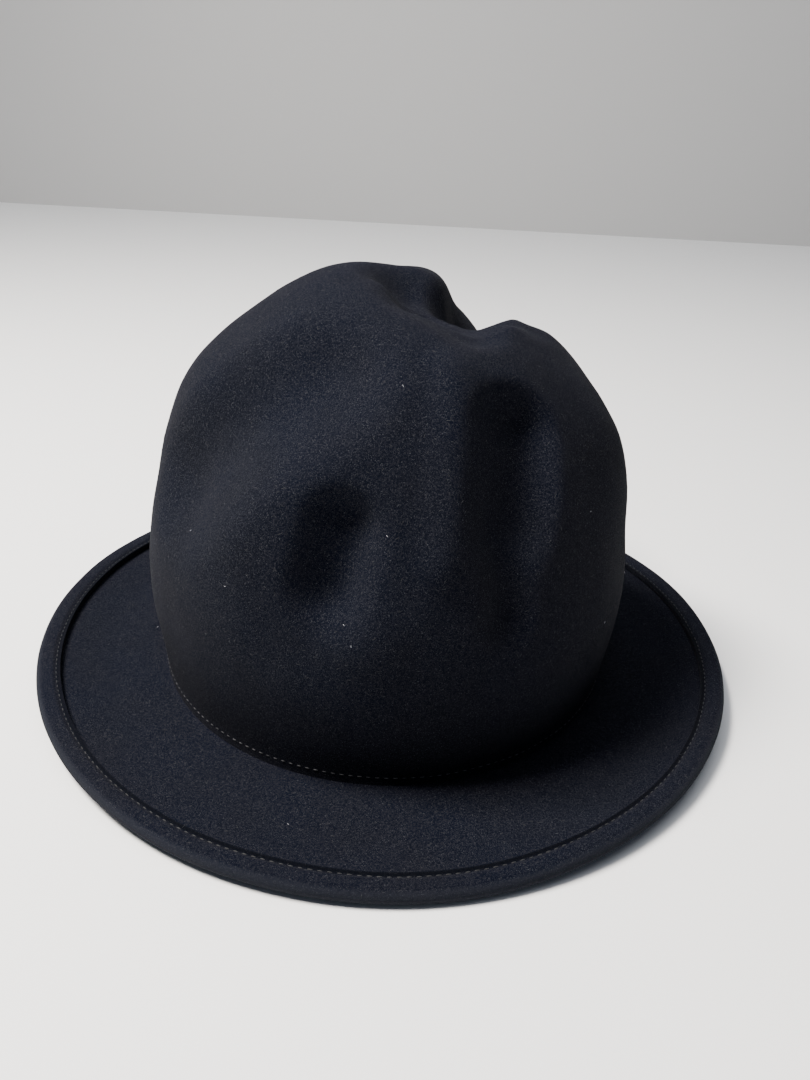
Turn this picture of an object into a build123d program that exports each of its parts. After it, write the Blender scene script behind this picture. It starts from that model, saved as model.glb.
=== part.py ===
"""A dented, wide-crowned felt hat, standing on its brim.

The origin is under the middle of the head opening, on the plane the brim rests on.
+Z is up, the front of the hat faces -Y, and the head opening is longest along Y.
"""
from build123d import *
from math import asin, cos, hypot, pi, sin
import os

# ---- driving dimensions, in mm ----
HEAD_LENGTH = 205.0  # outside the felt at the crown's foot, front to back
HEAD_WIDTH = 188.0  # outside the felt at the crown's foot, side to side
FELT = 2.8  # felt thickness
CROWN_TOP = 159.0  # undented height of the crown above the table
CROWN_BULGE = 8.5  # how far the wall leans out over its foot
BULGE_SKEW = 0.8  # under 1 puts the widest point below the middle of the height
CROWN_SHOULDER = 0.80  # exponents of the dome: under 1 is squarer than a round dome
CROWN_ROUND = 0.66
FOOT_FLARE = 1.6  # the felt's small cove where the crown turns into the brim
FOOT_FLARE_HEIGHT = 8.0

BRIM_WIDTH = 54.0  # from the crown's foot to the outer edge
BRIM_FLAT = 22.0  # width of the stretch that lies on the table
EDGE_LIFT = 3.4  # mean lift of the brim's edge
EDGE_WAVE = 2.8  # the sides lift by this much more, front and back by this much less
WELT_WIDTH = 9.5  # the edge folded over onto the top of the brim

BAND_HEIGHT = 33.0  # sweatband
BAND_THICK = 0.9
BAND_GAP = 0.25
REED_DIAMETER = 2.2  # piping along the sweatband's lower edge
REED_BOTTOM = 0.5
THREAD = 0.6
THREAD_SIDES = 6
REED_SIDES = 10
STITCH_GAP = 0.05  # a thread or a patch clears the face it lies on by this much
WELT_STITCH_INSET = 1.6  # from the welt's raw edge to its stitch row
FOOT_STITCH_HEIGHT = 4.0  # above the top of the brim
FOOT_STITCH_GAP = 0.2

TAPE_WIDTH = 14.0  # covers the sweatband's join at the back
TAPE_MARGIN = 1.0  # the sweatband shows this much above and below the tape
PATCH_THICK = 0.5
TAB_WIDTH = 15.0  # blank size tab
TAB_HEIGHT = 9.0
TAB_DROP = 4.0  # below the top of the sweatband
BOW_LOOP_LENGTH = 11.0
BOW_LOOP_WIDTH = 6.0
BOW_LOOP_GAP = 0.3  # between a loop and the knot
BOW_RIBBON = 1.4
BOW_THICK = 1.0
BOW_TILT = 18.0
BOW_KNOT = 3.4
BOW_KNOT_THICK = 1.6
BOW_TAIL = 10.0
BOW_TAIL_DROP = 0.47  # between the knot and the head of a tail
BOW_STAND_OFF = 1.1  # keeps the straight bow clear of the curved sweatband

LABEL_WIDTH = 22.0  # blank fibre-content label, hanging by its top edge
LABEL_HEIGHT = 21.0
LABEL_THICK = 0.4
LABEL_GAP = 0.35  # between the label and the sweatband
LABEL_SEAM_HEIGHT = 2.0
LABEL_SEAM_GAP = 0.3

RING_POINTS = 96
CROWN_RINGS = 30
RING_CROWDING = 1.5  # over 1 brings the rings closer together towards the top
NOSE_STEPS = 6
CURL_STEPS = 6
NORMAL_STEP = 0.01  # the small steps along the crown that its normals are worked out from

# Where the felt is pushed in or out by hand. Each push moves the felt by its shift along
# a line from start to end, and fades to nothing at its reach.
PUSHES = {
    "valley behind the right lobe": ((40, 28, 146), (80, 62, 105), 42, (-7, -3, -25)),
    "notch between the lobes": ((26, 2, 150), (33, 24, 146), 20, (0, 0, -21)),
    "top of the right lobe": ((47, -14, 150), (47, -14, 150), 16, (0, 0, -3)),
    "dip before the crest": ((6, -24, 154), (24, -36, 148), 18, (0, 2, -7)),
    "right lobe": ((80, -24, 108), (80, -24, 108), 44, (4.2, 0, 0.6)),
    "left shoulder": ((-78, -10, 122), (-78, -10, 122), 46, (-3.5, 0, 2.5)),
    "left lobe": ((-18, 4, 158), (-18, 4, 158), 56, (-1, 0, 6)),
    "rear lobe": ((18, 28, 152), (14, 38, 152), 26, (4, 0, 5)),
    "hollow behind the crest": ((4, -5, 155), (24, -14, 150), 24, (0, 2, -15)),
    "crest": ((-6, -14, 158), (24, -37, 142), 9, (0, -1, 2)),
    "slack over the left front": ((-28, -66, 140), (-72, -60, 100), 36, (6, 10, -3)),
    "ridge": ((21, -62, 144), (22, -98, 90), 14, (0, -4, 1)),
    "right front hollow": ((44, -71, 126), (45, -90, 102), 23, (0, 14, -4)),
    "groove under the right hollow": ((42, -92, 104), (45, -98, 68), 14, (-2, 9, 0)),
    "left front dent": ((-14, -98, 97), (-18, -104, 78), 18, (3, 10, -1)),
    "hollow round the left dent": ((-14, -98, 96), (-22, -103, 70), 38, (0, 4, 0)),
    "roll under the left dent": ((-4, -106, 62), (-4, -106, 62), 20, (0, -3, 0)),
}

BAND_OUTSIDE = -FELT - BAND_GAP
BAND_INSIDE = BAND_OUTSIDE - BAND_THICK
BAND_BOTTOM = REED_BOTTOM + REED_DIAMETER + STITCH_GAP
BAND_TOP = BAND_BOTTOM + BAND_HEIGHT


def smooth(x):
    x = min(max(x, 0.0), 1.0)
    return x * x * (3 - 2 * x)


def oval(angle, offset):
    """A point of the head oval, moved out along the oval's normal."""
    half_width, half_length = HEAD_WIDTH / 2, HEAD_LENGTH / 2
    nx, ny = cos(angle) / half_width, sin(angle) / half_length
    n = hypot(nx, ny)
    return half_width * cos(angle) + offset * nx / n, half_length * sin(angle) + offset * ny / n


def angles():
    return [2 * pi * i / RING_POINTS for i in range(RING_POINTS)]


def closed_curve(points):
    return Wire([Edge.make_spline([Vector(*p) for p in points], periodic=True)])


def ring(offset, height):
    """A closed curve at one offset from the head oval; height is a number or a function."""
    rise = height if callable(height) else lambda angle: height
    return closed_curve([(*oval(a, offset), rise(a)) for a in angles()])


def band(profile):
    """A closed solid round the head oval from its cross-section's (offset, height) corners."""
    rings = [ring(*corner) for corner in profile]
    return Solid.make_loft([*rings, rings[0]], ruled=True)


def underside(offset):
    """The height of the brim's underside at one offset, as a function of the angle."""
    share = smooth((offset - BRIM_FLAT) / (BRIM_WIDTH - BRIM_FLAT))
    return lambda a: (EDGE_LIFT + EDGE_WAVE * cos(2 * a)) * share


def felt_brim():
    """The brim: flat where it rests, curled up at the edge, with its edge folded over."""

    def over(offset, layers):
        below = underside(offset)
        return lambda a: below(a) + layers * FELT

    nose_centre = BRIM_WIDTH - FELT
    raw_edge = BRIM_WIDTH - WELT_WIDTH
    curl = [BRIM_FLAT + (nose_centre - BRIM_FLAT) * i / CURL_STEPS for i in range(CURL_STEPS + 1)]
    corners = [(offset, underside(offset)) for offset in curl]
    for i in range(1, NOSE_STEPS):
        turn = pi * i / NOSE_STEPS
        corners.append((nose_centre + FELT * sin(turn), over(nose_centre, 1 - cos(turn))))
    corners += [(nose_centre, over(nose_centre, 2)), (raw_edge, over(raw_edge, 2))]
    corners += [(offset, over(offset, 1)) for offset in [raw_edge, *reversed(curl[:-2])]]
    opening = ring(-FELT, 0)
    rings = [ring(*corner) for corner in corners]
    upper = Shell.make_loft([*rings, ring(-FELT, FELT), opening], ruled=True)
    rest = Face(rings[0], [opening])
    return Solid(Shell([rest, *upper.faces()]))


def crown_base(angle, t):
    """The undented dome; t runs from 0 at the foot to 1 at the top."""
    height = FELT + (CROWN_TOP - FELT) * sin(pi / 2 * t) ** CROWN_SHOULDER
    share = (height - FELT) / (CROWN_TOP - FELT)
    flare = FOOT_FLARE * (1 - smooth((height - FELT) / FOOT_FLARE_HEIGHT))
    x, y = oval(angle, CROWN_BULGE * sin(pi * share**BULGE_SKEW) + flare)
    narrow = max(cos(pi / 2 * t), 0.0) ** CROWN_ROUND
    return Vector(x * narrow, y * narrow, height)


def pushed(point):
    for start, end, reach, shift in PUSHES.values():
        start, along = Vector(*start), Vector(*end) - Vector(*start)
        if along.length > 0:
            start += along * min(max((point - start).dot(along) / along.length**2, 0.0), 1.0)
        point += Vector(*shift) * smooth(1 - (point - start).length / reach)
    return point


def crown_point(angle, t, depth):
    """A point of the dented crown, moved in along the felt's normal by depth."""
    point = pushed(crown_base(angle, t))
    if depth == 0:
        return point
    if t > 1 - NORMAL_STEP:
        return point - Vector(0, 0, depth)
    across = pushed(crown_base(angle + NORMAL_STEP, t)) - pushed(crown_base(angle - NORMAL_STEP, t))
    below, above = max(t - NORMAL_STEP, 0), t + NORMAL_STEP
    up = pushed(crown_base(angle, above)) - pushed(crown_base(angle, below))
    return point - across.cross(up).normalized() * depth


def crown_skin(depth):
    """One face of the felt crown, with its foot ring."""
    foot = ring(FOOT_FLARE - depth, FELT)
    rings = [foot]
    for i in range(1, CROWN_RINGS):
        t = 1 - (1 - i / CROWN_RINGS) ** RING_CROWDING
        rings.append(closed_curve([tuple(crown_point(a, t, depth)) for a in angles()]))
    top = Vertex(*crown_point(0, 1, depth))
    return foot, Shell.make_loft([*rings, top], ruled=True)


def felt_crown():
    outer_foot, outside = crown_skin(0)
    inner_foot, inside = crown_skin(FELT)
    foot = Face(outer_foot, [inner_foot])
    return Solid(Shell([foot, *outside.faces(), *inside.faces()]))


def thread(offset, height):
    """A round stitch row, as one plain ring of thread."""
    radius = THREAD / 2
    corners = []
    for i in range(THREAD_SIDES):
        turn = 2 * pi * i / THREAD_SIDES
        rise = (lambda a, up=radius * sin(turn): height(a) + up)
        corners.append((offset + radius * cos(turn), rise))
    return band(corners)


def welt_thread():
    offset = BRIM_WIDTH - WELT_WIDTH + WELT_STITCH_INSET
    top = underside(offset)
    return thread(offset, lambda a: top(a) + 2 * FELT + THREAD / 2 + STITCH_GAP)


def foot_thread():
    """The row that holds the sweatband, on the outside of the crown's foot."""
    height = FELT + FOOT_STITCH_HEIGHT
    wall = [crown_base(0, i / 1000) for i in range(200)]
    nearest = min(wall, key=lambda point: abs(point.Z - height))
    offset = nearest.X - HEAD_WIDTH / 2 + THREAD / 2 + FOOT_STITCH_GAP
    return thread(offset, lambda a: height)


def sweatband():
    corners = ((BAND_OUTSIDE, BAND_BOTTOM), (BAND_OUTSIDE, BAND_TOP))
    return band([*corners, (BAND_INSIDE, BAND_TOP), (BAND_INSIDE, BAND_BOTTOM)])


def sweatband_reed():
    radius = REED_DIAMETER / 2
    middle = BAND_OUTSIDE - radius
    turns = [2 * pi * i / REED_SIDES for i in range(REED_SIDES)]
    level = REED_BOTTOM + radius
    return band([(middle + radius * cos(t), level + radius * sin(t)) for t in turns])


def patch(middle, width, low, high):
    """A thin patch on the sweatband's inner face, round a point of it."""
    face = BAND_INSIDE - STITCH_GAP
    layer = band([(face, low), (face, high), (face - PATCH_THICK, high), (face - PATCH_THICK, low)])
    window = Box(width, width, 2 * BAND_TOP).moved(Location(middle))
    return layer & window


def seam_tape():
    back = (0, HEAD_LENGTH / 2 + BAND_INSIDE, BAND_TOP)
    return patch(back, TAPE_WIDTH, BAND_BOTTOM + TAPE_MARGIN, BAND_TOP - TAPE_MARGIN)


def size_tab():
    side = (-HEAD_WIDTH / 2 - BAND_INSIDE, 0, BAND_TOP)
    high = BAND_TOP - TAB_DROP
    return patch(side, TAB_WIDTH, high - TAB_HEIGHT, high)


def bow_plane():
    """The plane a little in front of the seam tape, facing into the hat."""
    tape_face = HEAD_LENGTH / 2 + BAND_INSIDE - STITCH_GAP - PATCH_THICK
    back = tape_face - BOW_STAND_OFF
    middle = (BAND_BOTTOM + BAND_TOP) / 2
    return Plane(origin=(0, back, middle), x_dir=(1, 0, 0), z_dir=(0, -1, 0))


def sweatband_bow():
    """Two ribbon loops and two tails, either side of the knot."""
    loop = SlotOverall(BOW_LOOP_LENGTH, BOW_LOOP_WIDTH)
    loop -= SlotOverall(BOW_LOOP_LENGTH - 2 * BOW_RIBBON, BOW_LOOP_WIDTH - 2 * BOW_RIBBON)
    loop = extrude(loop, BOW_THICK)
    reach = (BOW_LOOP_LENGTH + BOW_KNOT) / 2 + BOW_LOOP_GAP
    tail = Box(BOW_RIBBON, BOW_TAIL, BOW_THICK, align=(Align.CENTER, Align.MAX, Align.MIN))
    pieces = []
    for side in (-1, 1):
        turned = loop.moved(Location((side * reach, 0, 0))).moved(Rotation(0, 0, side * BOW_TILT))
        drop = Location((side * BOW_KNOT / 2, -BOW_KNOT / 2 - BOW_TAIL_DROP, 0))
        hanging = tail.moved(Rotation(0, 0, side * BOW_TILT)).moved(drop)
        pieces += [bow_plane() * turned, bow_plane() * hanging]
    return Compound(pieces)


def bow_knot():
    knot = Box(BOW_KNOT, BOW_KNOT, BOW_KNOT_THICK, align=(Align.CENTER, Align.CENTER, Align.MIN))
    return bow_plane() * knot


def label_outer_face():
    """Where the flat label clears the curved sweatband at the label's own edges."""
    across = asin(LABEL_WIDTH / HEAD_LENGTH)
    return oval(across, BAND_INSIDE)[0] - LABEL_GAP


def label_box(low, height, face, thick):
    box = Box(thick, LABEL_WIDTH, height, align=(Align.MAX, Align.CENTER, Align.MIN))
    return box.moved(Location((face, 0, low)))


def fibre_label():
    low = BAND_TOP - LABEL_SEAM_HEIGHT - LABEL_SEAM_GAP - LABEL_HEIGHT
    return label_box(low, LABEL_HEIGHT, label_outer_face(), LABEL_THICK)


def label_seam():
    """The stitched head of the label, fixed to the sweatband."""
    face = label_outer_face() + LABEL_GAP - STITCH_GAP
    thick = LABEL_GAP + LABEL_THICK - STITCH_GAP
    return label_box(BAND_TOP - LABEL_SEAM_HEIGHT, LABEL_SEAM_HEIGHT, face, thick)


def main():
    os.makedirs("parts", exist_ok=True)
    nodes = (
        felt_crown,
        felt_brim,
        welt_thread,
        foot_thread,
        sweatband,
        sweatband_reed,
        seam_tape,
        size_tab,
        sweatband_bow,
        bow_knot,
        fibre_label,
        label_seam,
    )
    for node in nodes:
        export_step(node(), f"parts/{node.__name__}.step")
    hinge_height = BAND_TOP - LABEL_SEAM_HEIGHT - LABEL_SEAM_GAP
    print("label hinge", label_outer_face() - LABEL_THICK, 0, hinge_height)


main()
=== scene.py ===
# A dented black wool felt hat: the felt hood, its stitching and the sweatband inside.
# Metres, +Z up, the front of the hat faces -Y, and the brim rests on z = 0.

from math import asin, atan2, cos, hypot, pi, radians, sin

import bpy
from mathutils import Matrix, Vector, noise
from mathutils.bvhtree import BVHTree


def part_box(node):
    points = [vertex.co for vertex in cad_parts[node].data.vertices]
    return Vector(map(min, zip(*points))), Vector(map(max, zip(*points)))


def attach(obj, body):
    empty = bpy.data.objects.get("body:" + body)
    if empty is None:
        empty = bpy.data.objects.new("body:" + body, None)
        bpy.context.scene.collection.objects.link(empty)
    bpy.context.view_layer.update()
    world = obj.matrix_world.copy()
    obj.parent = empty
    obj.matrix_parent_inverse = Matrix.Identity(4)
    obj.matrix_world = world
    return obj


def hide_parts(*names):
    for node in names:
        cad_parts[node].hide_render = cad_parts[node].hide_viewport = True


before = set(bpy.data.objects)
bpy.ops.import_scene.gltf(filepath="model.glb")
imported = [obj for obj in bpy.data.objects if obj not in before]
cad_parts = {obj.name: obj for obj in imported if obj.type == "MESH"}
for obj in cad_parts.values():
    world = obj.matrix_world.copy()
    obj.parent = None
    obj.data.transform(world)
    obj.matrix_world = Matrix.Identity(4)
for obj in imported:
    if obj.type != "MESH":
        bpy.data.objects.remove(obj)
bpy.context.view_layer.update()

MM = 0.001

# ---- sizes, from the frame where it holds them ----
FELT = 2.8 * MM
BAND_GAP = 0.25 * MM
BAND_LOW, BAND_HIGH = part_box("sweatband")
BRIM_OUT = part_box("felt_brim")[1]
HALF_WIDTH = BAND_HIGH[0] + FELT + BAND_GAP  # head oval, outside the felt at the crown's foot
HALF_LENGTH = BAND_HIGH[1] + FELT + BAND_GAP
BRIM_WIDTH = BRIM_OUT[0] - HALF_WIDTH
BRIM_FLAT = 22 * MM
EDGE_LIFT = 3.4 * MM
EDGE_WAVE = 2.8 * MM
WELT_WIDTH = 9.5 * MM
WELT_SLIT = 0.3 * MM
BAND_THICK = 0.9 * MM
BAND_INSIDE = -FELT - BAND_GAP - BAND_THICK
CLEAR = 0.05 * MM
OVAL_STEP = 0.01  # a small turn, in radians, for measuring along the oval
FELT_HAIRS = 3200
LINT_WISPS = 22
STITCH_PITCH = 3.1 * MM
STITCH_LENGTH = 2.2 * MM
THREAD_THICK = 0.36 * MM
WELT_ROW = BRIM_WIDTH - WELT_WIDTH + 1.6 * MM
FOOT_ROW = FELT + 4.0 * MM
CROWN_TOP = 159 * MM
CROWN_BULGE = 8.5 * MM
CROWN_SHOULDER = 0.80
CROWN_ROUND = 0.66
FOOT_FLARE = 1.6 * MM
FOOT_FLARE_HEIGHT = 8 * MM
SPHERE_CUTS = 39
BRIM_STEPS = 13
FURROW = 0.8 * MM  # how deep the welt's stitches pull the felt in
RIBBON_THICK = 0.2 * MM
PATCH_THICK = 0.45 * MM
LABEL_THICK = 0.3 * MM

# Pushes of the hand in the felt, in mm: a line from start to end, its reach and its shift.
PUSHES = {
    "valley behind the right lobe": ((40, 28, 146), (80, 62, 105), 42, (-7, -3, -25)),
    "notch between the lobes": ((26, 2, 150), (33, 24, 146), 20, (0, 0, -21)),
    "top of the right lobe": ((47, -14, 150), (47, -14, 150), 16, (0, 0, -3)),
    "dip before the crest": ((6, -24, 154), (24, -36, 148), 18, (0, 2, -7)),
    "right lobe": ((80, -24, 108), (80, -24, 108), 44, (4.2, 0, 0.6)),
    "left shoulder": ((-78, -10, 122), (-78, -10, 122), 46, (-3.5, 0, 2.5)),
    "left lobe": ((-18, 4, 158), (-18, 4, 158), 56, (-1, 0, 6)),
    "rear lobe": ((18, 28, 152), (14, 38, 152), 26, (4, 0, 5)),
    "hollow behind the crest": ((4, -5, 155), (24, -14, 150), 24, (0, 2, -15)),
    "crest": ((-6, -14, 158), (24, -37, 142), 9, (0, -1, 2)),
    "slack over the left front": ((-28, -66, 140), (-72, -60, 100), 36, (6, 10, -3)),
    "ridge": ((21, -62, 144), (22, -98, 90), 14, (0, -4, 1)),
    "right front hollow": ((44, -71, 126), (45, -90, 102), 23, (0, 14, -4)),
    "groove under the right hollow": ((42, -92, 104), (45, -98, 68), 14, (-2, 9, 0)),
    "left front dent": ((-14, -98, 97), (-18, -104, 78), 18, (3, 10, -1)),
    "hollow round the left dent": ((-14, -98, 96), (-22, -103, 70), 38, (0, 4, 0)),
    "roll under the left dent": ((-4, -106, 62), (-4, -106, 62), 20, (0, -3, 0)),
}


# ---- camera and light ----
def camera():
    tilt_down, roll = 25.93, 3.12
    data = bpy.data.cameras.new("camera")
    data.sensor_width = 36
    data.lens = 29.67
    eye = bpy.data.objects.new("camera", data)
    bpy.context.collection.objects.link(eye)
    turn = Matrix.Rotation(radians(90 - tilt_down), 4, "X") @ Matrix.Rotation(radians(roll), 4, "Z")
    eye.matrix_world = Matrix.Translation((0.0069, -0.3504, 0.2199)) @ turn
    bpy.context.scene.camera = eye


def soft_light(name, place, target, size, power, colour):
    data = bpy.data.lights.new(name, "AREA")
    data.shape = "RECTANGLE"
    data.size, data.size_y = size
    data.energy = power
    data.color = colour
    lamp = bpy.data.objects.new(name, data)
    bpy.context.collection.objects.link(lamp)
    lamp.location = place
    lamp.rotation_euler = (Vector(target) - Vector(place)).to_track_quat("-Z", "Y").to_euler()


def studio():
    world = bpy.data.worlds.new("studio")
    world.use_nodes = True
    sky = world.node_tree.nodes["Background"]
    sky.inputs["Color"].default_value = (0.68, 0.79, 1.0, 1)
    sky.inputs["Strength"].default_value = 0.13
    bpy.context.scene.world = world
    middle = (0, 0, 0.06)
    soft_light("window", (-0.57, -0.11, 1.06), middle, (0.40, 0.40), 52, (1.0, 0.95, 0.89))
    soft_light("ceiling", (0.0, 0.3, 2.2), middle, (2.2, 2.2), 30, (0.93, 0.96, 1.0))


# ---- materials ----
class Shader:
    """A Principled material and short calls for the nodes that feed it."""

    def __init__(self, name):
        self.material = bpy.data.materials.new(name)
        self.material.use_nodes = True
        self.tree = self.material.node_tree
        self.surface = self.tree.nodes["Principled BSDF"]
        self.place = self.tree.nodes.new("ShaderNodeTexCoord").outputs["Object"]

    def set(self, **values):
        for socket, value in values.items():
            self.surface.inputs[socket.replace("_", " ")].default_value = value

    def join(self, output, target):
        self.tree.links.new(output, target)

    def node(self, kind, **inputs):
        made = self.tree.nodes.new("ShaderNode" + kind)
        for socket, value in inputs.items():
            target = made.inputs[socket.replace("_", " ")]
            if isinstance(value, bpy.types.NodeSocket):
                self.join(value, target)
            else:
                target.default_value = value
        return made

    def noise(self, scale, detail=3.0, roughness=0.55, distortion=0.0, at=None):
        made = self.node("TexNoise", Scale=scale, Detail=detail, Roughness=roughness)
        made.inputs["Distortion"].default_value = distortion
        self.join(at or self.place, made.inputs["Vector"])
        return made.outputs["Fac"]

    def marked(self, name):
        """A piece's own attribute of that name, 0 to 1."""
        made = self.tree.nodes.new("ShaderNodeAttribute")
        made.attribute_name = name
        return made.outputs["Fac"]

    def ramp(self, value, *stops):
        made = self.node("ValToRGB", Fac=value)
        steps = made.color_ramp.elements
        while len(steps) < len(stops):
            steps.new(0.5)
        for step, (where, colour) in zip(steps, stops):
            step.position = where
            step.color = (*colour, 1) if isinstance(colour, tuple) else (colour, colour, colour, 1)
        return made.outputs["Color"]

    def mix(self, share, first, second):
        made = self.tree.nodes.new("ShaderNodeMix")
        made.data_type = "RGBA"
        for socket, value in (("Factor", share), ("A", first), ("B", second)):
            target = next(s for s in made.inputs if s.name == socket and s.enabled)
            if isinstance(value, bpy.types.NodeSocket):
                self.join(value, target)
            else:
                target.default_value = (*value, 1) if isinstance(value, tuple) else value
        return next(s for s in made.outputs if s.enabled)

    def bumps(self, *layers):
        """Bump layers of (height, strength, distance), finest last."""
        normal = None
        for height, strength, distance in layers:
            made = self.node("Bump", Height=height, Strength=strength, Distance=distance)
            if normal:
                self.join(normal, made.inputs["Normal"])
            normal = made.outputs["Normal"]
        self.join(normal, self.surface.inputs["Normal"])

    def colour(self, output):
        self.join(output, self.surface.inputs["Base Color"])

    def rough(self, output):
        self.join(output, self.surface.inputs["Roughness"])


def wool_felt():
    felt = Shader("wool felt")
    felt.set(Sheen_Weight=0.01, Sheen_Roughness=0.5, Specular_IOR_Level=0.05)
    felt.set(Sheen_Tint=(0.80, 0.80, 0.86, 1))
    cloud = felt.noise(26, detail=4)
    nap = felt.noise(1300, detail=4, roughness=0.8)
    fibre = felt.noise(3000, detail=3, roughness=0.8, distortion=0.6)
    deep_blue, blue_black = (0.0009, 0.0019, 0.0062), (0.0020, 0.0026, 0.0058)
    dye = felt.mix(felt.ramp(cloud, (0.35, 0.0), (0.65, 1.0)), deep_blue, blue_black)
    worn = felt.mix(felt.ramp(nap, (0.46, 0.0), (0.60, 1.0)), dye, (0.0078, 0.0084, 0.0128))
    hairs = felt.mix(felt.ramp(fibre, (0.58, 0.0), (0.66, 0.8)), worn, (0.066, 0.067, 0.076))
    # painted highlight: the brim's folded edge is made lighter where it catches the light
    edge = felt.ramp(felt.marked("painted_rim_highlight"), (0.2, 0.0), (1.0, 0.5))
    painted_rim_highlight = felt.mix(edge, hairs, (0.018, 0.020, 0.027))
    # painted shade along the welt's stitch row for the furrow there, with the darker tone of the felt the
    # stitches compress
    felt.colour(felt.mix(felt.marked("pressed_and_shaded"), painted_rim_highlight, (0.0010, 0.0014, 0.0030)))
    felt.rough(felt.ramp(nap, (0.3, 1.0), (0.7, 0.9)))
    felt.bumps((nap, 0.7, 0.0005), (fibre, 0.8, 0.0002))
    return felt.material


def thread(name, white):
    spun = Shader(name)
    spun.set(Roughness=0.55, Specular_IOR_Level=0.3)
    twist = spun.noise(2600, detail=2, distortion=1.0)
    dull, pale = (white * 0.3, white * 0.31, white * 0.34), (white, white, white * 1.1)
    spun.colour(spun.ramp(twist, (0.35, dull), (0.7, pale)))
    spun.bumps((twist, 0.6, 0.00015))
    return spun.material


def pale_wisp(name, white):
    wisp = Shader(name)
    wisp.set(Roughness=0.8, Specular_IOR_Level=0.2)
    dull, pale = (white * 0.4, white * 0.42, white * 0.46), (white, white, white * 1.08)
    wisp.colour(wisp.ramp(wisp.noise(1800, detail=2), (0.3, dull), (0.7, pale)))
    return wisp.material


def band_leather():
    leather = Shader("sweatband leather")
    leather.set(Specular_IOR_Level=0.42, Coat_Weight=0.06, Coat_Roughness=0.35)
    grain = leather.node("TexVoronoi", Scale=850.0, Vector=leather.place).outputs["Distance"]
    pores = leather.noise(1400, detail=3)
    wear = leather.noise(30, detail=5, roughness=0.65)
    dark, light, crease = (0.020, 0.016, 0.014), (0.042, 0.034, 0.028), (0.012, 0.010, 0.009)
    hide = leather.mix(leather.ramp(wear, (0.4, 0.0), (0.65, 1.0)), dark, light)
    leather.colour(leather.mix(leather.ramp(grain, (0.25, 0.0), (0.7, 0.5)), hide, crease))
    leather.rough(leather.ramp(wear, (0.35, 0.42), (0.7, 0.62)))
    leather.bumps((wear, 0.2, 0.0012), (grain, 0.45, 0.0003), (pores, 0.3, 0.00012))
    return leather.material


def ribbon_cloth():
    ribbon = Shader("corded ribbon")
    ribbon.set(Sheen_Weight=0.35, Sheen_Roughness=0.35, Specular_IOR_Level=0.35)
    ribs = ribbon.node("TexWave", Scale=420.0, Distortion=0.6, Vector=ribbon.place)
    ribs.bands_direction = "Z"
    weave = ribbon.noise(2200, detail=2)
    # painted shade: the colour is darker in the grooves between the ribs and lighter on their tops
    between, on_rib = (0.010, 0.010, 0.012), (0.035, 0.035, 0.040)
    ribbon.colour(ribbon.ramp(ribs.outputs["Fac"], (0.2, between), (0.8, on_rib)))
    ribbon.rough(ribbon.ramp(weave, (0.3, 0.5), (0.7, 0.75)))
    ribbon.bumps((ribs.outputs["Fac"], 0.7, 0.00025), (weave, 0.3, 0.0001))
    return ribbon.material


def woven_label():
    satin = Shader("woven label")
    satin.set(Sheen_Weight=0.25, Specular_IOR_Level=0.4)
    warp = satin.node("TexWave", Scale=520.0, Distortion=0.3, Vector=satin.place)
    warp.bands_direction = "Y"
    weft = satin.node("TexWave", Scale=700.0, Distortion=0.3, Vector=satin.place)
    weft.bands_direction = "Z"
    soil = satin.noise(90, detail=5)
    clean, soiled, shadow = (0.66, 0.63, 0.57), (0.54, 0.50, 0.44), (0.36, 0.34, 0.30)
    cloth = satin.mix(satin.ramp(soil, (0.4, 0.0), (0.7, 1.0)), clean, soiled)
    between = satin.ramp(warp.outputs["Fac"], (0.1, 0.35), (0.6, 0.0))
    satin.colour(satin.mix(between, cloth, shadow))
    satin.rough(satin.ramp(weft.outputs["Fac"], (0.2, 0.45), (0.8, 0.7)))
    satin.bumps((warp.outputs["Fac"], 0.4, 0.0001), (weft.outputs["Fac"], 0.4, 0.0001))
    return satin.material


def stage_plane(name, place, turn, white):
    """The plain floor or backdrop, which is not part of the hat."""
    clean_slate()
    bpy.ops.mesh.primitive_plane_add(size=6, location=place, rotation=turn)
    plane = bpy.context.object
    plane.name = name
    paint = Shader(name)
    paint.set(Roughness=0.55, Specular_IOR_Level=0.3)
    paint.set(Base_Color=(white, white, white, 1))
    plane.data.materials.append(paint.material)


# ---- shaping by hand ----
def clean_slate():
    if bpy.context.object and bpy.context.object.mode != "OBJECT":
        bpy.ops.object.mode_set(mode="OBJECT")
    bpy.ops.object.select_all(action="DESELECT")


def take(piece):
    clean_slate()
    piece.select_set(True)
    bpy.context.view_layer.objects.active = piece


def apply_modifier(piece, kind, **settings):
    take(piece)
    made = piece.modifiers.new(kind.lower(), kind)
    for name, value in settings.items():
        setattr(made, name, value)
    bpy.ops.object.modifier_apply(modifier=made.name)


def subdivide(piece, levels):
    apply_modifier(piece, "SUBSURF", levels=levels, render_levels=levels)


def soften(piece, width, angle):
    """Rounds the edges that turn by more than the angle."""
    limit = {"limit_method": "ANGLE", "angle_limit": radians(angle)}
    apply_modifier(piece, "BEVEL", width=width, segments=2, **limit)


def cut_up(cuts):
    """Splits the faces of a new primitive evenly and returns it."""
    bpy.ops.object.mode_set(mode="EDIT")
    bpy.ops.mesh.subdivide(number_cuts=cuts)
    bpy.ops.object.mode_set(mode="OBJECT")
    return bpy.context.object


def face_outwards(piece):
    take(piece)
    bpy.ops.object.mode_set(mode="EDIT")
    bpy.ops.mesh.select_all(action="SELECT")
    bpy.ops.mesh.normals_make_consistent(inside=False)
    bpy.ops.object.mode_set(mode="OBJECT")


def joined(pieces):
    clean_slate()
    for piece in pieces:
        piece.select_set(True)
    bpy.context.view_layer.objects.active = pieces[0]
    bpy.ops.object.join()
    return bpy.context.object


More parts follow.
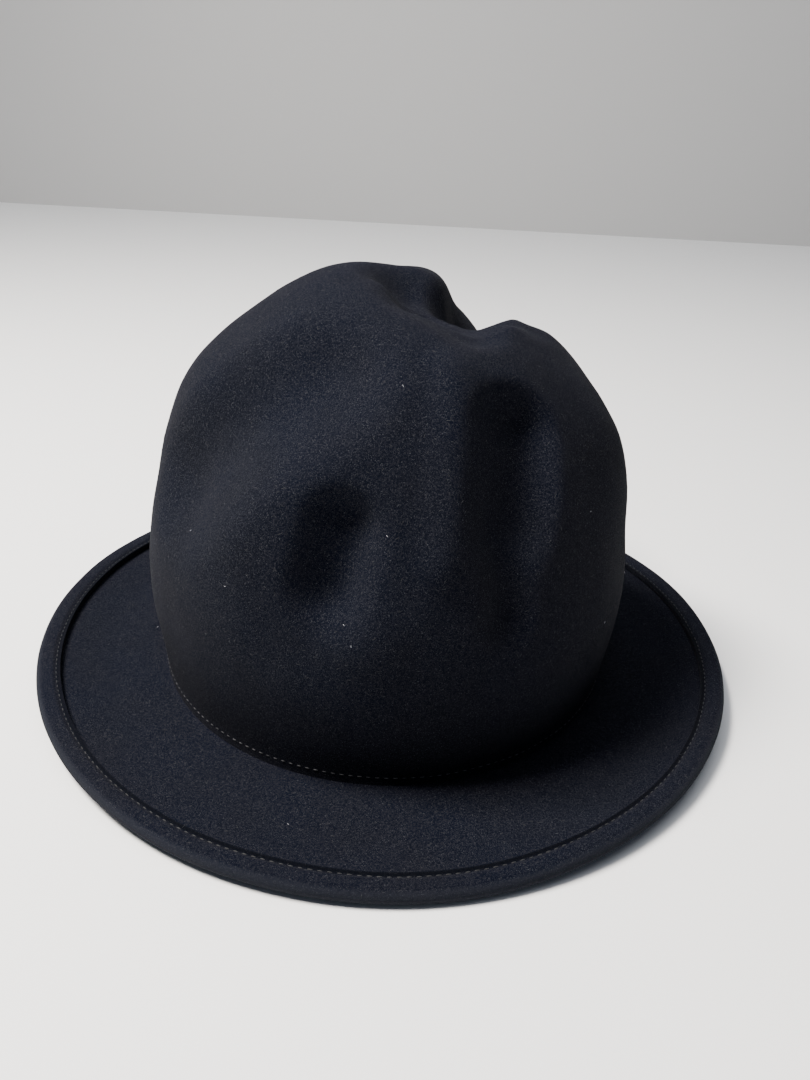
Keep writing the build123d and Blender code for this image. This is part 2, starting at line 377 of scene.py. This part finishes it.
def finish_piece(piece, name, material, body, *nodes, slot, smooth_angle=60):
    piece.name = piece.data.name = name
    piece.data.materials.clear()
    piece.data.materials.append(material)
    take(piece)
    bpy.ops.object.transform_apply(location=True, rotation=True, scale=True)
    bpy.ops.object.shade_smooth_by_angle(angle=radians(smooth_angle))
    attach(piece, body)
    if nodes:
        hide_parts(*nodes)
    return piece


def smooth(x):
    x = min(max(x, 0.0), 1.0)
    return x * x * (3 - 2 * x)


def oval(angle, offset):
    """A point of the head oval, moved out along the oval's normal."""
    nx, ny = cos(angle) / HALF_WIDTH, sin(angle) / HALF_LENGTH
    n = hypot(nx, ny)
    return HALF_WIDTH * cos(angle) + offset * nx / n, HALF_LENGTH * sin(angle) + offset * ny / n


def oval_angle(x, y):
    return atan2(y / HALF_LENGTH, x / HALF_WIDTH)


def oval_offset(x, y):
    """How far a point of the brim lies outside the head oval."""
    return hypot(x, y) * (1 - 1 / max(hypot(x / HALF_WIDTH, y / HALF_LENGTH), 1e-6))


def edge_lift(angle, offset):
    share = smooth((offset - BRIM_FLAT) / (BRIM_WIDTH - BRIM_FLAT))
    return (EDGE_LIFT + EDGE_WAVE * cos(2 * angle)) * share


def grow_rings(rings, offset, height):
    """Extrudes the selected oval loop through (offset, height) rings."""
    for new_offset, new_height in rings:
        bpy.ops.mesh.extrude_edges_move()
        wide = (HALF_WIDTH + new_offset) / (HALF_WIDTH + offset)
        long = (HALF_LENGTH + new_offset) / (HALF_LENGTH + offset)
        bpy.ops.transform.resize(value=(wide, long, 1), center_override=(0, 0, height))
        bpy.ops.transform.translate(value=(0, 0, new_height - height))
        offset, height = new_offset, new_height


# ---- the felt hood ----
def dome_point(angle, rise):
    """The undented crown; rise runs from 0 at the foot to 1 at the top."""
    t = 1 - (1 - rise) ** 1.5
    height = FELT + (CROWN_TOP - FELT) * sin(pi / 2 * t) ** CROWN_SHOULDER
    share = (height - FELT) / (CROWN_TOP - FELT)
    flare = FOOT_FLARE * (1 - smooth((height - FELT) / FOOT_FLARE_HEIGHT))
    x, y = oval(angle, CROWN_BULGE * sin(pi * share**0.8) + flare)
    narrow = max(cos(pi / 2 * t), 0.0) ** CROWN_ROUND
    return Vector((x * narrow, y * narrow, height))


def round_crown():
    """Half a sphere of even squares, drawn up into the block's shape."""
    clean_slate()
    bpy.ops.mesh.primitive_cube_add(size=2)
    hood = bpy.context.object
    bpy.ops.object.mode_set(mode="EDIT")
    bpy.ops.mesh.subdivide(number_cuts=SPHERE_CUTS)
    bpy.ops.transform.tosphere(value=1)
    bpy.ops.mesh.bisect(plane_co=(0, 0, 0), plane_no=(0, 0, 1), clear_inner=True)
    bpy.ops.object.mode_set(mode="OBJECT")
    for vertex in hood.data.vertices:
        x, y, z = vertex.co.normalized()
        rise = asin(min(max(z, 0.0), 1.0)) / (pi / 2)
        vertex.co = dome_point(atan2(y, x), rise)
    return hood


def turned_brim(hood):
    """The brim drawn out from the crown's foot, with its edge folded over on top."""
    take(hood)
    bpy.ops.object.mode_set(mode="EDIT")
    bpy.ops.mesh.select_mode(type="EDGE")
    bpy.ops.mesh.select_all(action="DESELECT")
    bpy.ops.mesh.select_non_manifold()
    fold = BRIM_WIDTH - FELT - WELT_SLIT / 2
    raw_edge = BRIM_WIDTH - WELT_WIDTH
    start = FOOT_FLARE
    rings = [(start + 1.2 * MM, FELT)]
    rings += [(start + (fold - start) * i / BRIM_STEPS, FELT) for i in range(1, BRIM_STEPS + 1)]
    for i in range(1, 5):
        turn = pi * i / 4
        rings.append((fold + WELT_SLIT / 2 * sin(turn), FELT + WELT_SLIT / 2 * (1 - cos(turn))))
    welt = [fold - 1.8 * MM]
    welt += [WELT_ROW + step * MM for step in (2.2, 1.1, 0.4, -0.4)]
    welt += [raw_edge + 0.4 * MM, raw_edge]
    rings += [(offset, FELT + WELT_SLIT) for offset in welt]
    grow_rings(rings, start, FELT)
    bpy.ops.object.mode_set(mode="OBJECT")


def pushed(point):
    """Where the hand's pushes leave a point of the felt."""
    for start, end, reach, shift in PUSHES.values():
        start, along = Vector(start) * MM, (Vector(end) - Vector(start)) * MM
        if along.length > 0:
            start += along * min(max((point - start).dot(along) / along.length_squared, 0.0), 1.0)
        point = point + Vector(shift) * MM * smooth(1 - (point - start).length / (reach * MM))
    return point


def settle(hood):
    """Dents the crown, lifts the brim's edge and gives the felt its small unevenness."""
    pressed_and_shaded = hood.data.attributes.new("pressed_and_shaded", "FLOAT", "POINT").data
    painted_rim_highlight = hood.data.attributes.new("painted_rim_highlight", "FLOAT", "POINT").data
    folded, welt_top = 1.8 * FELT, 2.5 * FELT  # the heights between which the welt's top lies
    for vertex in hood.data.vertices:
        point = vertex.co.copy()
        offset = oval_offset(point.x, point.y)
        angle = oval_angle(point.x, point.y)
        past_row = offset - WELT_ROW
        on_brim = smooth(offset / (10 * MM)) * smooth((12 * MM - point.z) / (6 * MM))
        if point.z > 14 * MM:
            point = pushed(point)
        # the felt along the welt's stitch furrow is marked for painted shade and for the darker tone of
        # compressed felt
        if folded < vertex.co.z < welt_top:
            point.z -= FURROW * smooth(1 - abs(past_row) / (1.7 * MM))
            pressed_and_shaded[vertex.index].value = 0.9 * smooth(1 - abs(past_row + 0.7 * MM) / (1.5 * MM))
        # marks the brim's folded edge for a painted highlight in the felt material
        if vertex.co.z < welt_top:
            painted_rim_highlight[vertex.index].value = smooth(1 - abs(offset - BRIM_WIDTH + 0.4 * MM) / (2.6 * MM))
        point.z += edge_lift(angle, offset) * smooth((14 * MM - vertex.co.z) / (3 * MM))
        high = smooth(point.z / (30 * MM))
        slack = noise.noise(point * 28) * 0.9 * MM + noise.noise(point * 75) * 0.28 * MM
        point += Vector((point.x, point.y, point.z * 0.4)).normalized() * slack * high
        ripple = noise.noise(Vector((cos(angle), sin(angle), 0)) * 2.3) * 0.7 * MM
        point.z += ripple * on_brim * smooth((offset - BRIM_FLAT) / (20 * MM))
        vertex.co = point


def felt_hood(material):
    hood = round_crown()
    turned_brim(hood)
    wall = {"thickness": FELT, "offset": -1, "use_even_offset": True, "edge_crease_rim": 0.6}
    apply_modifier(hood, "SOLIDIFY", **wall)
    subdivide(hood, 1)
    settle(hood)
    return finish_piece(hood, "felt_hood", material, "hat", "felt_crown", "felt_brim", slot="felt")


# ---- sewing ----
def one_stitch(length, thick, sides):
    """One stitch along X that dives into the cloth at both ends."""
    clean_slate()
    lying = (0, pi / 2, 0)
    bpy.ops.mesh.primitive_cylinder_add(vertices=sides, radius=thick / 2, depth=length, rotation=lying)
    stitch = bpy.context.object
    bpy.ops.object.transform_apply(rotation=True)
    bpy.ops.object.mode_set(mode="EDIT")
    for share in (-0.3, 0.0, 0.3):
        bpy.ops.mesh.select_all(action="SELECT")
        bpy.ops.mesh.bisect(plane_co=(length * share, 0, 0), plane_no=(1, 0, 0))
    bpy.ops.object.mode_set(mode="OBJECT")
    for vertex in stitch.data.vertices:
        end = abs(vertex.co.x) / (length / 2)
        slim = 1 - 0.45 * end**3
        vertex.co.y *= slim
        vertex.co.z = vertex.co.z * slim + thick * (0.35 - 0.85 * end * end)
    return stitch


def sew(name, places, length, thick, material, slot, *nodes, sides=6):
    """Copies one stitch to every (point, along, outward) place and joins the copies."""
    pattern = one_stitch(length, thick, sides)
    copies = []
    for point, along, outward in places:
        along = (along - outward * along.dot(outward)).normalized()
        frame_axes = Matrix((along, outward.cross(along), outward)).transposed().to_4x4()
        copy = pattern.copy()
        copy.data = pattern.data.copy()
        copy.matrix_world = Matrix.Translation(point) @ frame_axes
        bpy.context.collection.objects.link(copy)
        copies.append(copy)
    bpy.data.objects.remove(pattern)
    return finish_piece(joined(copies), name, material, "hat", *nodes, slot=slot)


def surface_of(piece):
    corners = [vertex.co for vertex in piece.data.vertices]
    return BVHTree.FromPolygons(corners, [face.vertices for face in piece.data.polygons])


def ahead_on_oval(angle, offset):
    """The way a row of stitches runs along the oval at an angle."""
    step = Vector(oval(angle + OVAL_STEP, offset)) - Vector(oval(angle - OVAL_STEP, offset))
    return step.to_3d()


def oval_pace(angle, offset):
    """Metres along the oval per radian."""
    return ahead_on_oval(angle, offset).length / (2 * OVAL_STEP)


def row_angles(pitch, offset):
    """Even steps round the head oval."""
    angle, angles = 0.0, []
    while angle < 2 * pi:
        angles.append(angle)
        angle += pitch / oval_pace(angle, offset)
    return angles[:-1]


def sunk(point, outward, angle):
    """Pulls a stitch a little into the felt, some more than others."""
    return point - outward * (0.08 + 0.14 * noise.noise(Vector((cos(angle), sin(angle), 1)) * 40)) * MM


def welt_row(felt):
    """The row that holds the folded edge down, seen from above."""
    places = []
    for angle in row_angles(STITCH_PITCH, WELT_ROW):
        wander = noise.noise(Vector((cos(angle), sin(angle), 0)) * 9) * 0.25 * MM
        x, y = oval(angle, WELT_ROW + wander)
        point, outward, *_ = felt.ray_cast(Vector((x, y, 40 * MM)), Vector((0, 0, -1)))
        places.append((sunk(point, outward, angle), ahead_on_oval(angle, WELT_ROW), outward))
    return places


def foot_row(felt):
    """The row round the crown's foot that holds the sweatband."""
    places = []
    for angle in row_angles(STITCH_PITCH, 0):
        height = FOOT_ROW + noise.noise(Vector((cos(angle), sin(angle), 4)) * 6) * 0.3 * MM
        out = Vector((*oval(angle, 30 * MM), height))
        middle = Vector((*oval(angle, -20 * MM), height))
        point, outward, *_ = felt.ray_cast(out, (middle - out).normalized())
        places.append((sunk(point, outward, angle), ahead_on_oval(angle, 0), outward))
    return places


# ---- inside the hat ----
def oval_rings(profile, turns=144):
    """A skin round the head oval through (offset, height) rings."""
    (offset, height), *others = profile
    clean_slate()
    bpy.ops.mesh.primitive_circle_add(vertices=turns, radius=1)
    piece = bpy.context.object
    piece.scale = (HALF_WIDTH + offset, HALF_LENGTH + offset, 1)
    piece.location.z = height
    bpy.ops.object.transform_apply(location=True, rotation=False, scale=True)
    bpy.ops.object.mode_set(mode="EDIT")
    bpy.ops.mesh.select_mode(type="EDGE")
    bpy.ops.mesh.select_all(action="SELECT")
    grow_rings(others, offset, height)
    bpy.ops.mesh.select_all(action="SELECT")
    bpy.ops.mesh.remove_doubles(threshold=0.00001)
    bpy.ops.mesh.normals_make_consistent(inside=False)
    bpy.ops.object.mode_set(mode="OBJECT")
    return piece


def on_band(middle, along, inward, height):
    """A point of the sweatband's inner face, from its distances along, inward and up."""
    offset = BAND_INSIDE - inward
    return Vector((*oval(middle + along / oval_pace(middle, offset), offset), height))


def band_place(middle, along, inward, height, turn=0.0):
    """Where a stitch lies on the sweatband's inner face."""
    point = on_band(middle, along, inward, height)
    ahead = (on_band(middle, along + 0.2 * MM, inward, height) - point).normalized()
    outward = Vector((0, 0, 1)).cross(ahead)
    if outward.dot(point) > 0:
        outward.negate()
    return point, ahead * cos(turn) + Vector((0, 0, 1)) * sin(turn), outward


def sweatband():
    """The leather band, with a crease under its top edge and a soft, uneven stand."""
    low, top = BAND_LOW[2], BAND_HIGH[2]
    outside = -FELT - BAND_GAP
    press = 0.16 * MM
    steps = [(outside, low + (top - 6 * MM - low) * i / 7) for i in range(8)]
    steps += [(outside, top - 5.2 * MM), (outside + press, top - 4.6 * MM), (outside, top - 4.0 * MM)]
    steps += [(outside, top - 2 * MM), (outside, top - 0.2 * MM), (outside, top)]
    band = oval_rings(steps)
    for vertex in band.data.vertices:
        rise = smooth((vertex.co.z - low) / (top - low))
        lean = noise.noise(vertex.co * 22) * 0.16 * MM - 0.05 * MM
        vertex.co += Vector((vertex.co.x, vertex.co.y, 0)).normalized() * lean * rise
    apply_modifier(band, "SOLIDIFY", thickness=BAND_THICK - 0.1 * MM, offset=-1, use_even_offset=True)
    soften(band, 0.22 * MM, 50)
    return finish_piece(band, "sweatband_leather", LEATHER, "hat", "sweatband", slot="band_leather")


def reed():
    """The piping the leather is turned round along its lower edge."""
    low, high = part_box("sweatband_reed")
    radius = (high[2] - low[2]) / 2
    middle = -FELT - BAND_GAP - radius
    turns = [2 * pi * i / 12 for i in range(13)]
    piping = oval_rings([(middle + radius * cos(t), low[2] + radius + radius * sin(t)) for t in turns], 192)
    for vertex in piping.data.vertices:
        beads = 1 + 0.03 * sin(oval_angle(vertex.co.x, vertex.co.y) * 190)
        vertex.co.z = (vertex.co.z - low[2] - radius) * beads + low[2] + radius
    return finish_piece(piping, "sweatband_piping", LEATHER, "hat", "sweatband_reed", slot="band_leather")


def reed_stitches():
    """Slanting stitches that close the leather over the piping."""
    height = BAND_LOW[2] + 1.6 * MM
    offset = BAND_INSIDE
    places = [band_place(a, 0, 0, height, radians(62)) for a in row_angles(3.4 * MM, offset)]
    return sew("piping_stitches", places, 2.4 * MM, 0.42 * MM, THREAD, "thread")


def sewn_patch(name, material, slot, middle, node, hem):
    """A blank cloth patch with a turned hem, laid on the sweatband's inner face."""
    low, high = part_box(node)
    across = 0 if middle == pi / 2 else 1
    width, height = high[across] - low[across], high[2] - low[2]
    place = (0, PATCH_THICK / 2 + CLEAR, (low[2] + high[2]) / 2)
    clean_slate()
    bpy.ops.mesh.primitive_cube_add(size=1, location=place)
    patch = bpy.context.object
    patch.scale = (width, PATCH_THICK, height)
    bpy.ops.object.transform_apply(location=True, rotation=False, scale=True)
    bpy.ops.object.mode_set(mode="EDIT")
    bpy.ops.mesh.select_mode(type="FACE")
    bpy.ops.mesh.select_all(action="DESELECT")
    bpy.ops.object.mode_set(mode="OBJECT")
    for face in patch.data.polygons:
        face.select = face.normal.y > 0.9
    bpy.ops.object.mode_set(mode="EDIT")
    bpy.ops.mesh.inset(thickness=hem, depth=0)
    bpy.ops.mesh.inset(thickness=0.12 * MM, depth=-0.14 * MM)
    bpy.ops.mesh.select_all(action="SELECT")
    bpy.ops.mesh.subdivide(number_cuts=5)
    bpy.ops.object.mode_set(mode="OBJECT")
    soften(patch, 0.08 * MM, 60)
    for vertex in patch.data.vertices:
        x, y, z = vertex.co
        vertex.co = on_band(middle, x, y, z)
    face_outwards(patch)
    return finish_piece(patch, name, material, "hat", node, slot=slot, smooth_angle=40)


def patch_stitches(name, middle, node, inset, pitch):
    """A row down each side of a patch."""
    low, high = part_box(node)
    across = 0 if middle == pi / 2 else 1
    half = (high[across] - low[across]) / 2 - inset
    count = int((high[2] - low[2] - 2 * inset) / pitch)
    places = []
    for side in (-1, 1):
        for i in range(count + 1):
            height = low[2] + inset + (high[2] - low[2] - 2 * inset) * i / count
            places.append(band_place(middle, side * half, 0.48 * MM, height, pi / 2))
    return sew(name, places, pitch * 0.72, 0.32 * MM, THREAD, "thread")


def bow_point(across, up, inward):
    """A point in front of the seam tape, from the middle of the knot."""
    low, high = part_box("bow_knot")
    return Vector((across, high[1] - inward, (low[2] + high[2]) / 2 + up))


def ribbon_loop(side):
    """One loop of the bow: a narrow ribbon turned back on itself and pinched at the knot."""
    clean_slate()
    bpy.ops.mesh.primitive_circle_add(vertices=28, radius=1)
    loop = bpy.context.object
    bpy.ops.object.mode_set(mode="EDIT")
    bpy.ops.mesh.select_all(action="SELECT")
    for _ in range(6):
        bpy.ops.mesh.extrude_edges_move()
        bpy.ops.transform.translate(value=(0, 0, 1 / 6))
    bpy.ops.object.mode_set(mode="OBJECT")
    tilt = radians(-16) * side
    for vertex in loop.data.vertices:
        along, deep, width = vertex.co
        share = (along + 1) / 2
        reach = (1.2 + 10.6 * share) * MM
        spread = (2.0 + 2.6 * smooth(share * 1.6) - 0.5 * share * share) * MM
        up = (width - 0.5) * spread
        inward = (0.65 + deep * (0.28 + 0.5 * sin(pi * min(share * 1.1, 1)))) * MM
        inward += 0.22 * MM * sin(2.4 * width + 3 * share)
        across = side * (reach * cos(tilt) + up * sin(tilt))
        vertex.co = bow_point(across, up * cos(tilt) - reach * sin(tilt) * side, inward)
    apply_modifier(loop, "SOLIDIFY", thickness=RIBBON_THICK, offset=0)
    subdivide(loop, 1)
    return loop


def ribbon_tail(side):
    """One hanging end of the bow, cut on the slant."""
    clean_slate()
    bpy.ops.mesh.primitive_plane_add(size=1)
    tail = cut_up(11)
    for vertex in tail.data.vertices:
        width, share = vertex.co.x, vertex.co.y + 0.5
        length = (9.6 + 1.4 * width * side) * MM
        spread = (1.8 + 1.1 * smooth(share * 2)) * MM
        across = side * (0.9 + 3.1 * share) * MM + width * spread
        inward = (0.45 + 0.4 * sin(share * 5 + side) * share + 0.2 * width * width) * MM
        vertex.co = bow_point(across, -1.1 * MM - length * share, inward)
    apply_modifier(tail, "SOLIDIFY", thickness=RIBBON_THICK, offset=0)
    subdivide(tail, 1)
    return tail


def bow():
    pieces = [make(side) for make in (ribbon_loop, ribbon_tail) for side in (-1, 1)]
    return finish_piece(joined(pieces), "ribbon_bow", RIBBON, "hat", "sweatband_bow", slot="ribbon")


def knot():
    """The ribbon wrapped twice round the middle of the bow."""
    clean_slate()
    bpy.ops.mesh.primitive_cube_add(size=1)
    wrap = cut_up(5)
    for vertex in wrap.data.vertices:
        across, up, inward = vertex.co * 2
        full = 1 - 0.22 * up * up
        fold = 0.10 * sin(up * 7 + across * 1.5) * (inward > 0.9)
        across, up, inward = across * 1.55 * full, up * 1.6, (inward + fold) * 0.85 * full + 0.72
        vertex.co = bow_point(across * MM, up * MM, inward * MM)
    face_outwards(wrap)
    subdivide(wrap, 2)
    return finish_piece(wrap, "bow_wrap", RIBBON, "hat", "bow_knot", slot="ribbon")


def fibre_label():
    """A blank woven label, sewn by its top edge and curling a little off the leather."""
    low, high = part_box("fibre_label")
    width, height = high[1] - low[1], high[2] - low[2]
    clean_slate()
    bpy.ops.mesh.primitive_plane_add(size=1)
    sheet = cut_up(23)
    for vertex in sheet.data.vertices:
        side, drop = vertex.co.x, 0.5 - vertex.co.y
        curl = (1.1 * drop**2 + 0.7 * drop**3 * side + 0.5 * drop * side * side) * MM
        hem = 0.10 * MM * smooth((abs(side) - 0.42) / 0.02)
        off_leather = high[0] - LABEL_THICK / 2 - curl - hem
        vertex.co = Vector((off_leather, side * width, high[2] - drop * height))
    apply_modifier(sheet, "SOLIDIFY", thickness=LABEL_THICK, offset=0)
    subdivide(sheet, 1)
    label = finish_piece(sheet, "woven_fibre_label", LABEL, "label", "fibre_label", slot="label")


def label_head():
    """The folded head of the label, sewn to the sweatband."""
    low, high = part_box("label_seam")
    clean_slate()
    bpy.ops.mesh.primitive_cube_add(size=1, location=[(a + b) / 2 for a, b in zip(low, high)])
    head = bpy.context.object
    head.scale = [b - a for a, b in zip(low, high)]
    bpy.ops.object.transform_apply(location=True, rotation=False, scale=True)
    cut_up(9)
    for vertex in head.data.vertices:
        rise = (vertex.co.z - low[2]) / (high[2] - low[2])
        if vertex.co.x < (low[0] + high[0]) / 2:
            vertex.co.x += 0.22 * MM * rise**2 + 0.05 * MM * sin(vertex.co.y * 1800)
    soften(head, 0.12 * MM, 60)
    finish_piece(head, "label_head", LABEL, "hat", "label_seam", slot="label")
    places = []
    count = 8
    for i in range(count + 1):
        y = low[1] + 1.2 * MM + (high[1] - low[1] - 2.4 * MM) * i / count
        point = Vector((low[0] + 0.02 * MM, y, (low[2] + high[2]) / 2))
        places.append((point, Vector((0, 1, 0)), Vector((-1, 0, 0))))
    sew("label_stitches", places, 1.7 * MM, 0.32 * MM, THREAD, "thread")


def lint(felt):
    """A few pale wisps that cling to the felt."""
    clean_slate()
    wisps = []
    for i in range(LINT_WISPS):
        turn = noise.random_unit_vector()
        turn.z = abs(turn.z) * 0.8
        out = Vector((turn.x * 0.3, turn.y * 0.3, 0.02 + turn.z * 0.25))
        on_crown = Vector((turn.x * 0.05, turn.y * 0.05, 0.05))
        on_brim = Vector((turn.x * 0.13, turn.y * 0.13, 0))
        aim = on_crown if i % 3 else on_brim
        point, outward, *_ = felt.ray_cast(out, (aim - out).normalized())
        if point:
            along = outward.cross(noise.random_unit_vector()).normalized()
            wisps.append((point + outward * 0.1 * MM, along, outward))
    return sew("lint", wisps, 0.9 * MM, 0.13 * MM, LINT, "thread")


def surface_hairs(felt):
    """Short loose hairs of the felt, lying every way over the crown and the brim."""
    hairs = []
    for i in range(FELT_HAIRS):
        turn = noise.random_unit_vector()
        if i % 3:
            out = Vector((turn.x, turn.y, abs(turn.z))) * 0.4
            aim = Vector((0, 0, 60 * MM)) - out
        else:
            reach = BRIM_WIDTH * (0.5 + 0.5 * turn.z)
            out = Vector((*oval(atan2(turn.y, turn.x), reach), 0.03))
            aim = Vector((0, 0, -1))
        point, outward, *_ = felt.ray_cast(out, aim.normalized())
        along = noise.random_unit_vector()
        if point and abs(along.dot(outward)) < 0.8:
            hairs.append((point + outward * 0.03 * MM, along, outward))
    return sew("surface_hairs", hairs, 1.3 * MM, 0.09 * MM, HAIR, "felt", sides=3)


# ---- the scene ----
camera()
studio()
FELT_CLOTH = wool_felt()
THREAD = thread("black thread", 0.022)
PALE_THREAD = thread("grey thread", 0.11)
LEATHER = band_leather()
RIBBON = ribbon_cloth()
LABEL = woven_label()
LINT = pale_wisp("pale lint", 0.5)
HAIR = pale_wisp("felt hair", 0.06)

stage_plane("floor", (0, 0, 0), (0, 0, 0), 0.86)
stage_plane("backdrop", (0, 1.6, 0), (pi / 2, 0, 0), 0.5)
noise.seed_set(7)
FELT_SURFACE = surface_of(felt_hood(FELT_CLOTH))
STITCH = (STITCH_LENGTH, THREAD_THICK)
sew("welt_stitches", welt_row(FELT_SURFACE), *STITCH, THREAD, "thread", "welt_thread")
sew("foot_stitches", foot_row(FELT_SURFACE), *STITCH, PALE_THREAD, "thread", "foot_thread")
lint(FELT_SURFACE)
surface_hairs(FELT_SURFACE)
sweatband()
reed()
reed_stitches()
sewn_patch("seam_ribbon", RIBBON, "ribbon", pi / 2, "seam_tape", 1.6 * MM)
patch_stitches("seam_ribbon_stitches", pi / 2, "seam_tape", 1.1 * MM, 2.6 * MM)
sewn_patch("blank_size_tab", LABEL, "label", pi, "size_tab", 1.0 * MM)
patch_stitches("size_tab_stitches", pi, "size_tab", 0.8 * MM, 2.2 * MM)
bow()
knot()
label_head()
fibre_label()
